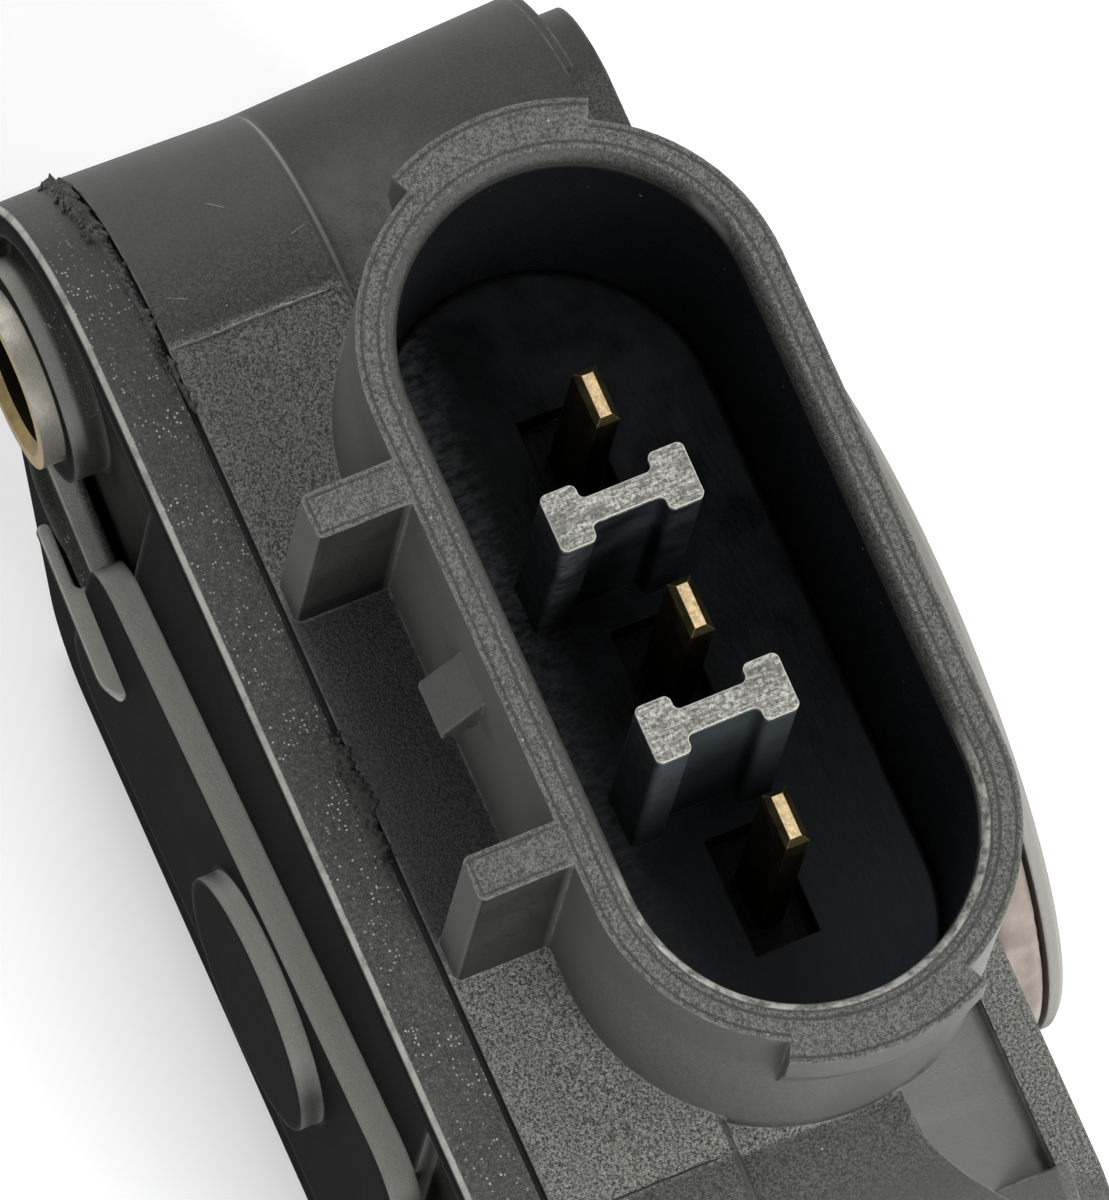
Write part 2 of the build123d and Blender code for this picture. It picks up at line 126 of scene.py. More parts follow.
# Ends of the slope fills, and how their starts dip under the moulded surface
fill_end_x = 18.25
fill_left_start_x = 11.3
fill_right_start_x = 10.2
fill_right_foot_z = 8.9
fill_stations = 96
fill_gap = 0.01
fill_dip = 0.12
fill_dip_length = 2.2
fill_rise_length = 0.22
fill_proud = 0.004
fill_crease_y = -3

# Heights and directions over which masks of the housing fade
near_rim_z = (rim_height - 3, rim_height - 2)
below_rim_z = (rim_height - 6, rim_height - 7)
upward = (0.93, 0.985)
hub_front_y = (0.9, 1.6)

# Colours of the housing
housing_grey = grey(0.015)
fleck_grey = grey(0.31)
dust_grey = grey(0.13)
# Painted glints: pale spots on the flat faces
glint_grey = grey(0.45)
# Painted shade along the fine moulded lines round the rim
line_shade_grey = grey(0.012)
# Painted highlight on the lip at the socket's right end
lip_highlight_grey = grey(0.5)
# Rubbed corners, and a painted highlight along the step round the left ear
wear_and_highlight_grey = grey(0.24)
socket_dust_grey = grey(0.25)
# Painted shadow on the floor between the rails
pocket_shade_black = (0.010, 0.010, 0.014, 1)
socket_black = (0.006, 0.007, 0.008, 1)
# Painted light on the slope, the walls under the rim, the latch and the flange's back
painted_light_grey = (0.12, 0.12, 0.117, 1)
# Painted light on the front of the hub
hub_front_light_grey = (0.26, 0.25, 0.23, 1)

# Colours of the cover
cover_grey = grey(0.024)
cover_fleck_grey = grey(0.11)
# Painted glints on the cover's top faces
cover_glint_grey = grey(0.6)
# Painted light on the ledges' tops, and a painted highlight with rubbed edges on the outer corner
cover_ledge_light_grey = grey(0.3)
cover_wear_and_highlight_grey = grey(0.4)
# Painted shade on the cover's faces turned back
cover_back_shade_black = (0.008, 0.008, 0.009, 1)

# Colours of the terminal carrier and its posts
carrier_black = (0.013, 0.016, 0.018)
# Painted sheen on the socket's floor
carrier_sheen_blue = (0.10, 0.12, 0.13, 1)
patch_grey = (0.13, 0.135, 0.14, 1)
# Painted shade along the floor's edge
gap_shade_black = (0.001, 0.001, 0.001, 1)
# Painted shade in the wells round the pins
well_shade_black = (0.0015, 0.0015, 0.0015, 1)
post_dark = grey(0.08)
post_middle = grey(0.2)
post_streak = grey(0.5)
post_edge = grey(0.7)
carrier_dust_grey = grey(0.2)

# Colours of the brass
brass_edge = (0.95, 0.8, 0.5, 1)
torn_brass = (0.62, 0.48, 0.28, 1)
bushing_bore = (0.012, 0.009, 0.006, 1)
bushing_outside = (0.26, 0.245, 0.21, 1)

# Moulded plastic
plastic_ior = 1.48
grain_depth = 0.05

# Studio
white_colour = (1, 1, 1, 1)
floor_half = 3000
floor_tone = (0.86, 0.86, 0.86)
floor_glow = 0.25
world_strength = 0.2
background_strength = 1.0
soft_boxes = [
    # name, place, size, power in watts
    ("left_box", (-340, -20, 200), 240, 0.9),
    ("right_box", (330, 60, 260), 240, 2.0),
    ("front_box", (90, -330, 230), 200, 0.35),
    ("back_box", (80, 330, 270), 200, 0.75),
]

# Camera, matched to the photograph's 1109 x 1200 frame
camera_place = Vector((133.88, -120.78, 635.18))
camera_turn = (15.237, -4.498, 66.300)
camera_lens = 786.35


class Look:
    """A procedural material, built up node by node. Texture places are in millimetres."""

    def __init__(self, name):
        self.material = bpy.data.materials.new(name)
        self.material.use_nodes = True
        self.tree = self.material.node_tree
        self.shader = self.tree.nodes["Principled BSDF"]
        place = self.add("ShaderNodeTexCoord").outputs["Object"]
        self.place = self.vector("SCALE", place, Scale=1 / MM)
        self.x, self.y, self.z = self.parts(self.place)
        self.facing = self.add("ShaderNodeNewGeometry").outputs["Normal"]

    def feed(self, socket, value):
        """Links a socket to another one, or sets its value."""
        if isinstance(value, bpy.types.NodeSocket):
            self.tree.links.new(value, socket)
        else:
            socket.default_value = value

    def add(self, kind, settings=None, **inputs):
        made = self.tree.nodes.new(kind)
        for key, value in (settings or {}).items():
            setattr(made, key, value)
        for key, value in inputs.items():
            self.feed(made.inputs[key.replace("_", " ")], value)
        return made

    def parts(self, vector):
        return self.add("ShaderNodeSeparateXYZ", Vector=vector).outputs

    def vector(self, operation, *values, **inputs):
        made = self.add("ShaderNodeVectorMath", {"operation": operation}, **inputs)
        for socket, value in zip(made.inputs, values):
            self.feed(socket, value)
        return made.outputs["Value" if operation in ("LENGTH", "DOT_PRODUCT") else "Vector"]

    def math(self, operation, *values):
        made = self.add("ShaderNodeMath", {"operation": operation})
        for socket, value in zip(made.inputs, values):
            self.feed(socket, value)
        return made.outputs[0]

    def times(self, first, *others):
        for other in others:
            first = self.math("MULTIPLY", first, other)
        return first

    def most(self, first, *others):
        for other in others:
            first = self.math("MAXIMUM", first, other)
        return first

    def away(self, value, centre):
        """How far a value is from a centre."""
        return self.math("ABSOLUTE", self.math("SUBTRACT", value, centre))

    def length(self, x, y):
        return self.vector("LENGTH", self.add("ShaderNodeCombineXYZ", X=x, Y=y).outputs[0])

    def band(self, value, start, end, low=0.0, high=1.0):
        """Runs smoothly from low to high while value goes from start to end."""
        made = self.add("ShaderNodeMapRange", {"interpolation_type": "SMOOTHSTEP"}, Value=value)
        ends = {"From Min": start, "From Max": end, "To Min": low, "To Max": high}
        for key, number in ends.items():
            self.feed(made.inputs[key], number)
        return made.outputs["Result"]

    def between(self, value, low, high, soft):
        """1 between two values, with soft ends."""
        return self.times(self.band(value, low - soft, low), self.band(value, high + soft, high))

    def damp(self, mask, left):
        """1 off a mask, and the share that is left on it."""
        return self.band(mask, 0, 1, 1, left)

    def noise(self, per_mm, detail=2.0, rough=0.5, stretch=(1, 1, 1)):
        place = self.vector("MULTIPLY", self.place, stretch)
        made = self.add(
            "ShaderNodeTexNoise", Vector=place, Scale=per_mm, Detail=detail, Roughness=rough
        )
        return made.outputs[0]

    def specks(self, per_mm, size, share):
        """Small spots, in that share of the cells of a random grid."""
        made = self.add("ShaderNodeTexVoronoi", Vector=self.place, Scale=per_mm)
        spot = self.band(made.outputs["Distance"], size, size * 0.4)
        return self.times(spot, self.math("LESS_THAN", made.outputs["Color"], share))

    def mix(self, factor, first, second):
        made = self.add("ShaderNodeMix", {"data_type": "RGBA"})
        for socket, value in ((0, factor), (6, first), (7, second)):
            self.feed(made.inputs[socket], value)
        return made.outputs[2]

    def tint(self, colour, value, low, high):
        """The colour made darker or lighter along a texture."""
        darker = [c * low for c in colour[:3]] + [1]
        lighter = [c * high for c in colour[:3]] + [1]
        return self.mix(self.band(value, 0.3, 0.7), darker, lighter)

    def rounded(self, radius, start=0.985, end=0.85):
        """Normal that turns smoothly over the edges, and a mask of those edges."""
        soft = self.add("ShaderNodeBevel", {"samples": 6}, Radius=radius * MM).outputs[0]
        turned = self.vector("DOT_PRODUCT", soft, self.facing)
        return soft, self.band(turned, start, end)

    def bump(self, height, depth, normal=None):
        made = self.add("ShaderNodeBump", Height=height, Distance=depth * MM, Strength=1.0)
        if normal is not None:
            self.feed(made.inputs["Normal"], normal)
        return made.outputs[0]

    def set(self, **values):
        """Feeds the shader's own sockets."""
        for key, value in values.items():
            self.feed(self.shader.inputs[key.replace("_", " ")], value)
        return self.material


def spark_grain(look):
    """Tone and height of a spark-eroded mould's texture."""
    coarse = look.noise(12, 3, 0.65)
    fine = look.noise(30, 2, 0.6)
    tone = look.math("ADD", look.times(coarse, 0.5), look.times(fine, 0.5))
    return tone, look.math("ADD", coarse, look.times(fine, 0.6))


def oval_reach(look):
    """Distance from the middle line of the socket's oval, and a mask of the pads at its ends."""
    along = look.math("MINIMUM", look.x, socket_half_span)
    along = look.math("MAXIMUM", along, -socket_half_span)
    past = look.math("SUBTRACT", look.x, along)
    across = look.math("SUBTRACT", look.y, socket_y)
    pad_width = look.times(look.math("ABSOLUTE", past), pad_slope)
    in_pads = look.math("GREATER_THAN", pad_width, look.math("ABSOLUTE", across))
    return look.length(past, across), in_pads


def housing_look():
    look = Look("housing_plastic")
    soft, edge = look.rounded(0.14)
    normal_x, normal_y, normal_z = look.parts(look.facing)
    from_middle = look.math("ABSOLUTE", look.x)
    reach, in_pads = oval_reach(look)
    inside = look.times(
        look.band(reach, socket_radius + 0.3, socket_radius + 0.08),
        look.band(look.z, rim_height - 0.1, rim_height - 0.7),
        look.band(look.z, carrier_low.z, carrier_low.z + 0.2),
    )
    rail_sides = look.times(
        look.band(normal_x, 0.6, 0.9),
        look.band(look.y, shroud_back_y, shroud_back_y - 0.3),
    )
    # Flat faces are coarsely grained, the round ears and the walls are nearly smooth
    flat = look.band(normal_z, *upward)
    grained = look.times(
        look.band(normal_z, *upward, 0.3, 1), look.damp(inside, 0.05), look.damp(rail_sides, 0.2)
    )
    grain, height = spark_grain(look)
    normal = look.bump(look.times(height, grained), grain_depth, soft)
    colour = look.tint(housing_grey, look.noise(0.55, 5, 0.6), 0.75, 1.2)
    # Light flecks in the grain, fewer on the rim, by the seam and on the ears
    flange = look.times(
        look.band(look.y, flange_back_y - 0.2, flange_back_y - 0.05), look.band(look.x, -8, -6)
    )
    bare = look.most(
        look.band(from_middle, ear_x + 0.2, ear_x - 0.1), look.band(look.z, *near_rim_z), flange
    )
    flecks = look.times(
        look.band(grain, 0.4, 0.62),
        grained,
        look.band(bare, 0, 1, 0.3, 1),
        look.band(look.z, *near_rim_z, 1, 0.54),
        look.band(look.y, seam_y, seam_y + 3.2, 0.9, 1),
    )
    colour = look.mix(look.times(flecks, 0.95), colour, fleck_grey)
    # Dust on the front part beside the socket's far end, and painted glints as pale spots on the flat
    # faces
    dusty = look.times(
        look.band(look.x, -16.5, -13),
        look.band(look.x, -8, -10),
        look.band(look.y, step_y, step_y + 0.3),
        look.band(look.y, -4, -6),
        look.band(look.z, *below_rim_z),
        look.band(look.noise(0.9, 4, 0.6), 0.3, 0.65, 0.4, 1),
    )
    colour = look.mix(look.times(dusty, 0.7), colour, dust_grey)
    colour = look.mix(look.times(look.specks(5.5, 0.2, 0.12), flat, 0.8), colour, glint_grey)
    # Painted shadow: the floor between the rails, darkened where the rails and the shroud shade it
    pocket_shade = look.times(
        look.band(from_middle, rail_x + 0.1, rail_x - 0.1),
        look.band(look.y, shroud_back_y + 0.1, shroud_back_y - 0.1),
        look.band(look.z, rim_height - 6.5, rim_height - 7),
    )
    colour = look.mix(look.times(pocket_shade, 0.75), colour, pocket_shade_black)
    # Painted light: the smooth slope behind the flange, the walls under the rim, the latch and the
    # flange's back are made paler, as if lit more
    slope = look.times(
        look.band(normal_y, 0.35, 0.5),
        look.band(look.z, slope_foot_z - 0.3, slope_foot_z + 0.3),
        look.band(look.y, slope_back_y - 0.6, slope_back_y),
    )
    walls = look.times(
        look.band(look.math("ABSOLUTE", normal_z), 0.3, 0.1),
        look.band(look.z, boss_crest_z, boss_crest_z + 0.4),
        look.damp(rail_sides, 0),
    )
    latch = look.times(
        look.between(look.x, *latch_x, 0.1),
        look.between(look.y, *latch_y, 0.03),
        look.band(look.z, *latch_foot_z),
    )
    flange_back = look.times(
        look.band(normal_y, -0.5, -0.8),
        look.band(look.y, flange_back_y - 0.3, flange_back_y - 0.1),
        look.band(look.y, flange_back_y + 0.3, flange_back_y + 0.1),
    )
    lighter = look.most(
        look.times(slope, 0.75),
        look.times(walls, 0.5),
        look.times(latch, 0.75),
        look.times(flange_back, 0.7),
    )
    colour = look.mix(lighter, colour, painted_light_grey)
    # Painted shade as fine dark lines round the rim, for the moulded bead at its outside, the edge of
    # the lip, and the rails
    on_rim = look.times(
        look.band(look.z, rim_height - 0.12, rim_height - 0.06), look.band(normal_z, 0.6, 0.8)
    )
    outside = look.math("ADD", look.times(in_pads, pad_rise), shroud_radius - 0.16)
    bead_line = look.band(look.away(reach, outside), 0.06, 0.02)
    lip_line = look.band(look.away(reach, socket_radius + 0.5), 0.07, 0.02)
    from_side = look.math("SUBTRACT", rail_half, look.away(from_middle, rail_x))
    from_end = look.math("SUBTRACT", look.y, rail_end_y)
    inset = look.math("MINIMUM", from_side, from_end)
    rail_line = look.times(
        look.band(look.away(inset, 0.14), 0.05, 0.02),
        look.band(look.y, shroud_back_y - 0.1, shroud_back_y - 0.3),
    )
    shade_lines = look.times(look.most(bead_line, lip_line, rail_line), on_rim)
    colour = look.mix(look.times(shade_lines, 0.75), colour, line_shade_grey)
    # Painted highlight along the lip at the socket's right end
    lip_highlight = look.times(
        look.between(reach, socket_radius + 0.1, socket_radius + 0.24, 0.06),
        look.band(look.x, socket_half_span - 1.5, socket_half_span + 1.5),
        look.band(look.z, rim_height - 0.9, rim_height - 0.5),
        look.band(look.noise(1.8, 4, 0.7), 0.35, 0.6, 0.15, 1),
    )
    colour = look.mix(look.times(lip_highlight, 0.8), colour, lip_highlight_grey)
    # Rubbed corners, and a painted highlight along the edge of the step round the left ear
    worn = look.times(edge, look.band(look.noise(1.4, 4, 0.7), 0.3, 0.65), 0.75)
    step_highlight = look.times(
        look.between(normal_y, 0.25, 0.85, 0.1),
        look.between(look.y, step_y - 0.14, step_y - 0.04, 0.05),
        look.band(look.z, *below_rim_z),
        look.band(look.x, 0, -2),
    )
    colour = look.mix(look.most(worn, look.times(step_highlight, 0.45)), colour, wear_and_highlight_grey)
    # Painted light on the front of the hub
    front = look.times(look.band(look.y, *hub_front_y), look.band(normal_z, -0.3, 0.2))
    colour = look.mix(look.times(front, 0.9), colour, hub_front_light_grey)
    # Glossy dark socket with dust near its mouth
    near_mouth = look.band(look.z, rim_height - 6, rim_height - 1)
    dust = look.times(look.specks(1.7, 0.09, 0.3), near_mouth)
    socket_colour = look.mix(look.times(dust, 0.7), socket_black, socket_dust_grey)
    colour = look.mix(inside, colour, socket_colour)
    rough = look.band(grain, 0.3, 0.75, 0.45, 0.65)
    rough = look.math("SUBTRACT", rough, look.times(inside, 0.25))
    # Walls that face back are dull, and so is the front part of the far ear
    back = look.band(normal_y, -0.7, -0.2, 0.03, 0.33)
    far_ear = look.times(look.band(look.x, -12, -13.5), look.band(look.y, step_y, step_y + 0.2))
    shine = look.times(
        look.band(normal_y, 0.3, 0.6, back, 0.55),
        look.damp(inside, 0.4),
        look.damp(rail_sides, 0.3),
        look.damp(far_ear, 0.62),
    )
    return look.set(
        Base_Color=colour,
        Roughness=rough,
        Normal=normal,
        IOR=plastic_ior,
        Specular_IOR_Level=shine,
    )


def cover_look():
    look = Look("cover_plastic")
    soft, edge = look.rounded(0.42, 0.9, 0.7)
    normal_y, normal_z = look.parts(look.facing)[1:]
    grain, height = spark_grain(look)
    top = look.band(normal_z, 0.6, 0.95)
    normal = look.bump(look.times(height, look.band(top, 0, 1, 0.35, 1)), grain_depth, soft)
    # Flecked strip along the top, less so by the left ear, and painted shade that makes the faces
    # turned back nearly black
    colour = look.tint(cover_grey, look.noise(0.5, 5, 0.6), 0.75, 1.2)
    by_ear = look.band(look.x, -15, -10, 0.35, 1)
    flecks = look.times(look.band(grain, 0.42, 0.62), top, 0.8, by_ear)
    colour = look.mix(flecks, colour, cover_fleck_grey)
    back_shade = look.times(
        look.band(normal_y, -0.6, -0.95),
        look.band(look.y, cover_edge_y + 0.4, cover_edge_y + 0.3),
    )
    colour = look.mix(look.times(back_shade, 0.85), colour, cover_back_shade_black)
    # Painted glints: small bright specks, partly in clusters, on the top faces
    cluster = look.band(look.noise(0.8, 3), 0.4, 0.65, 0.15, 1)
    glints = look.most(
        look.times(look.specks(11, 0.42, 0.3), cluster), look.specks(3.4, 0.15, 0.12)
    )
    colour = look.mix(look.times(glints, top, 0.85), colour, cover_glint_grey)
    # Painted light on top of the ledges behind the strip, and a painted highlight on the rounded
    # outer corner, with some rubbed edges
    lit_ledge = look.times(
        look.band(look.y, cover_edge_y + 0.1, cover_edge_y - 0.1), look.band(normal_z, 0.3, 0.8)
    )
    colour = look.mix(look.times(lit_ledge, 0.85), colour, cover_ledge_light_grey)
    # Painted highlight on the rounded outer corner
    corner = look.between(normal_y, -0.74, -0.5, 0.14)
    scuff = look.band(look.noise(1.6, 4, 0.7), 0.25, 0.6, 0.45, 1)
    worn = look.most(look.times(edge, 0.22), corner)
    colour = look.mix(look.times(worn, scuff), colour, cover_wear_and_highlight_grey)
    return look.set(
        Base_Color=colour,
        Roughness=look.band(grain, 0.3, 0.75, 0.45, 0.62),
        Normal=normal,
        IOR=plastic_ior,
        Specular_IOR_Level=look.band(normal_y, -0.8, -0.3, 0.002, 0.3),
    )


def carrier_look():
    look = Look("carrier_plastic")
    soft, edge = look.rounded(0.08)
    reach = oval_reach(look)[0]
    flow = look.noise(1.1, 4, 0.6, (1, 2.5, 1))
    height = look.math("ADD", flow, look.times(look.noise(9, 3), 0.25))
    colour = look.tint(carrier_black, look.noise(0.7, 4), 0.4, 1.6)
    # Painted sheen: a paler bluish tone over the floor towards +X
    colour = look.mix(look.band(look.x, 0, 8, 0, 0.8), colour, carrier_sheen_blue)
    # Worn patches on the floor's near side, and painted shade as a black line along its edge, where
    # it meets the wall
    patches = look.times(
        look.band(look.y, socket_y - 1.2, socket_y - 3),
        look.band(look.noise(5, 6, 0.7, (1, 0.5, 1)), 0.36, 0.66),
    )
    colour = look.mix(look.times(patches, 0.85), colour, patch_grey)
    gap_shade = look.band(reach, socket_radius - 0.2, socket_radius - 0.08)
    colour = look.mix(gap_shade, colour, gap_shade_black)
    # Painted shade: the wells round the pins made nearly black
    well_shade = look.band(look.z, well_level - 0.02, well_level - 0.1)
    colour = look.mix(well_shade, colour, well_shade_black)
    # Ends of the posts, rubbed pale in streaks
    rubbed = look.band(look.z, carrier_high.z - 0.25, carrier_high.z - 0.05)
    mottle = look.band(look.noise(9, 5, 0.8), 0.36, 0.62)
    streaks = look.band(look.noise(2.2, 4, 0.7, (4, 0.8, 1)), 0.4, 0.62)
    post_ends = look.mix(mottle, post_dark, post_middle)
    post_ends = look.mix(look.times(streaks, mottle), post_ends, post_streak)
    post_ends = look.mix(look.times(edge, 0.9), post_ends, post_edge)
    colour = look.mix(rubbed, colour, post_ends)
    colour = look.mix(look.times(look.specks(3.2, 0.08, 0.12), 0.5), colour, carrier_dust_grey)
    return look.set(
        Base_Color=colour,
        Roughness=look.band(rubbed, 0, 1, 0.35, 0.75),
        Normal=look.bump(height, 0.03, soft),
        IOR=plastic_ior,
        Specular_IOR_Level=0.07,
    )


def brass_look(name, colour, rough, tip=None, dark_bore_sides=False):
    """Drawn brass. A terminal has a torn tip; a bushing has near black sides in its bore and greyer
    sides outside.
    """
    look = Look(name)
    soft, edge = look.rounded(0.05)
    drawn = look.noise(2.2, 4, 0.6, (6, 6, 0.7))
    stain = look.noise(1.3, 4, 0.65)
    made = look.tint(colour, stain, 0.55, 1.1)
    made = look.mix(look.times(edge, 0.15), made, brass_edge)
    if tip is not None:
        cut = look.times(
            look.band(look.parts(look.facing)[2], 0.8, 0.95),
            look.band(look.z, pin_top_z - 0.2, pin_top_z - 0.02),
        )
        made = look.mix(cut, made, look.tint(tip, look.noise(7, 4, 0.75), 0.55, 1.15))
    if dark_bore_sides:
        side = look.band(look.math("ABSOLUTE", look.parts(look.facing)[1]), 0.8, 0.5)
        across = look.math("SUBTRACT", look.math("ABSOLUTE", look.x), bolt_x)
        from_bolt = look.length(across, look.math("SUBTRACT", look.z, bolt_z))
        outer = look.band(from_bolt, bushing_radius - 0.2, bushing_radius - 0.1)
        made = look.mix(side, made, look.mix(outer, bushing_bore, bushing_outside))
    return look.set(
        Base_Color=made,
        Metallic=1.0,
        Roughness=look.band(stain, 0.3, 0.7, rough, rough + 0.2),
        Normal=look.bump(drawn, 0.012, soft),
    )


def steel_look(name, colour, rough):
    """Drawn steel wire."""
    look = Look(name)
    drawn = look.noise(3, 4, 0.6, (1, 5, 1))
    return look.set(
        Base_Color=look.tint(colour, look.noise(1.5, 3), 0.75, 1.1),
        Metallic=1.0,
        Roughness=look.band(drawn, 0.3, 0.7, rough, rough + 0.15),
        Normal=look.bump(drawn, 0.01),
    )


def plain_look(name, colour, rough, per_mm, depth, light=1.25):
    """Plastic, rubber or resin with a grain and paler edges."""
    look = Look(name)
    soft, edge = look.rounded(0.07)
    grain = look.noise(per_mm, 4, 0.6)
    made = look.tint(colour, look.noise(per_mm * 0.25, 4), 0.75, light)
    made = look.mix(look.times(edge, 0.3), made, [min(1, c * 2.2) for c in colour] + [1])
    return look.set(
        Base_Color=made,
        Roughness=look.band(grain, 0.3, 0.7, rough, rough + 0.15),
        Normal=look.bump(grain, depth, soft),
    )


looks = {
    "housing": housing_look(),
    "rear_cover": cover_look(),
    "terminal_carrier": carrier_look(),
    "cover_seal": plain_look("sealant", (0.004, 0.004, 0.004), 0.7, 4, 0.03),
    "hub_seal": plain_look("seal_rubber", (0.24, 0.20, 0.17), 0.55, 5, 0.02),
    "rotor_seal": plain_look("lip_rubber", (0.09, 0.055, 0.04), 0.55, 5, 0.02),
    "element_board": plain_look("board_laminate", (0.08, 0.13, 0.08), 0.5, 3, 0.01),
    "element_film": plain_look("film_ink", (0.02, 0.02, 0.02), 0.45, 6, 0.005),
    "rotor": plain_look("rotor_nylon", (0.52, 0.50, 0.45), 0.45, 3, 0.015, 1.1),
    "wiper_carrier": plain_look("arm_nylon", (0.50, 0.48, 0.43), 0.45, 3, 0.015, 1.1),
    "thrust_washer": plain_look("washer_resin", (0.62, 0.60, 0.54), 0.4, 3, 0.01, 1.1),
    "rotor_bush": brass_look("bearing_bronze", (0.50, 0.33, 0.17), 0.4),
    "return_spring": steel_look("spring_wire", (0.55, 0.55, 0.57), 0.28),
}
terminal_brass = brass_look("terminal_brass", (0.05, 0.04, 0.02), 0.45, torn_brass)
bushing_brass = brass_look("bushing_brass", (0.30, 0.225, 0.105), 0.45, dark_bore_sides=True)
wiper_brass = brass_look("wiper_strip", (0.78, 0.62, 0.36), 0.25)
for name in ("terminal_1", "terminal_2", "terminal_3"):
    looks[name] = terminal_brass
for name in ("ear_bushing_left", "ear_bushing_right"):
    looks[name] = bushing_brass
for name in ("wiper_outer", "wiper_inner"):
    looks[name] = wiper_brass
for name, material in looks.items():
    nodes[name].data.materials.clear()
    nodes[name].data.materials.append(material)


# Small pieces: marks left by moulding and joining, the fills behind the ears, and the lug
def add_mesh(name, vertices, faces):
    """A new object with a mesh, from places in millimetres."""
    mesh = bpy.data.meshes.new(name)
    mesh.from_pydata([Vector(place) * MM for place in vertices], [], faces)
    mesh.validate()
    made = bpy.data.objects.new(name, mesh)
    bpy.context.scene.collection.objects.link(made)
    return made


def tube_faces(rings, corners):
    """Faces of a closed tube of that many rings, each with that many corners."""
    faces = []
    for ring in range(rings - 1):
        for corner in range(corners):
            a = ring * corners + corner
            b = ring * corners + (corner + 1) % corners
            faces.append((a, b, b + corners, a + corners))
    faces.append(tuple(reversed(range(corners))))
    faces.append(tuple(range((rings - 1) * corners, rings * corners)))
    return faces


def outline_station(along, y):
    """A point on the body's upper outline with its outward direction. Along is x on the flat top,
    and runs on round the ears by arc length."""
    radius = ear_radius + ear_draft * min(0.0, seam_y - y)
    over = max(0.0, abs(along) - ear_x)
    side = math.copysign(1, along)
    turn = over / ear_radius
    out = Vector((side * math.sin(turn), 0, math.cos(turn)))
    foot = Vector((side * min(abs(along), ear_x), y, ear_z))
    return foot + out * radius, out


def around_left(angle):
    """Place along the outline for an angle round the left ear, in degrees up from +X."""
    return -ear_x - math.radians(angle - 90) * ear_radius


# Cross-section of a ridge, as (offset, rise), with its feet sunk into the surface
ridge_shape = ((-1.0, None), (-0.6, 0.7), (-0.2, 0.9), (0.2, 1.0), (0.6, 0.7), (1.0, None))
# Waves per millimetre of a ridge's raggedness
slow_waves, quick_waves, crumb_waves = 1.7, 6.0, 9.0
seam_step = 0.035
line_step = 0.05


def ridge(name, stations, half_width, height, seed, sink=0.04, ragged=1.0):
    """A ragged closed ridge along stations of (place, up, side)."""
    vertices = []
    count = len(stations)
    travelled = 0.0
    for index, (place, up, side) in enumerate(stations):
        share = index / (count - 1)
        if index:
            travelled += (place - stations[index - 1][0]).length
        taper = min(1.0, 8 * share, 8 * (1 - share)) * 0.9 + 0.1
        slow = noise.noise((travelled * slow_waves, seed, 0.3))
        quick = noise.noise((travelled * quick_waves, seed, 7.1))
        shift = (0.7 * slow + 0.5 * quick) * half_width * ragged
        wide = half_width * (1 + ragged * (0.5 * slow + 0.6 * quick)) * taper
        for offset, rise in ridge_shape:
            crumb = noise.noise((travelled * crumb_waves, offset * 2.3 + seed, 3.7))
            lift = -sink
            if rise is not None:
                lift = max(lift, rise * height * taper * (1 + 1.1 * ragged * crumb))
            vertices.append(place + side * (shift + offset * wide) + up * lift)
    return add_mesh(name, vertices, tube_faces(count, len(ridge_shape)))


def seam_ridge(name, start, end, y_start, y_end, half_width, height, seed):
    """A ridge along the seam, from one place on the outline to another."""
    count = max(4, round((end - start) / seam_step))
    side = Vector((0, 1, 0))
    stations = []
    for i in range(count + 1):
        share = i / count
        along = start + (end - start) * share
        place, up = outline_station(along, y_start + (y_end - y_start) * share)
        stations.append((place, up, side))
    return ridge(name, stations, half_width, height, seed)


def top_line(name, start, end, half_width, height, seed, ragged):
    """A ridge on the outline's surface between two places, each (along, y)."""
    span = math.hypot(end[0] - start[0], end[1] - start[1])
    count = max(4, round(span / line_step))
    places = []
    for i in range(count + 1):
        share = i / count
        along = start[0] + (end[0] - start[0]) * share
        y = start[1] + (end[1] - start[1]) * share
        place, up = outline_station(along, seam_y)
        place = place + Vector((0, y - seam_y, 0)) - up * ear_draft * (y - seam_y)
        places.append((place, up))
    forward = (places[-1][0] - places[0][0]).normalized()
    stations = [(place, up, up.cross(forward).normalized()) for place, up in places]
    return ridge(name, stations, half_width, height, seed, 0.03, ragged)


def crumbs(name, start, end, y, spread, size, count, seed):
    """Loose grains of plastic stuck along the seam, as small uneven octahedra."""
    rng = random.Random(seed)
    upper = ((1, 3, 5), (3, 0, 5), (0, 2, 5), (2, 1, 5))
    lower = ((3, 1, 4), (0, 3, 4), (2, 0, 4), (1, 2, 4))
    vertices, faces = [], []
    for _ in range(count):
        along = start + (end - start) * rng.random()
        place, up = outline_station(along, y)
        place += Vector((0, rng.gauss(0, spread), 0)) + up * size * rng.uniform(0, 1.2)
        radius = size * rng.uniform(0.4, 1.3)
        first = len(vertices)
        for axis in range(3):
            for sign in (-1, 1):
                corner = Vector((0, 0, 0))
                corner[axis] = sign * radius * rng.uniform(0.6, 1.3)
                vertices.append(place + corner)
        faces += [tuple(first + corner for corner in face) for face in upper + lower]
    return add_mesh(name, vertices, faces)


def slope_z(y):
    """Height of the moulded slope behind the flange."""
    share = (y - slope_back_y) / (flange_back_y - slope_back_y)
    return boss_crest_z + (slope_foot_z - boss_crest_z) * share


def boss_top(x, y):
    """Height of the drafted round front part at a place on the body."""
    radius = boss_radius + ear_draft * (y - flange_back_y)
    over = max(0.0, abs(x) - ear_x)
    return boss_z + math.sqrt(max(0.0, radius**2 - over**2))


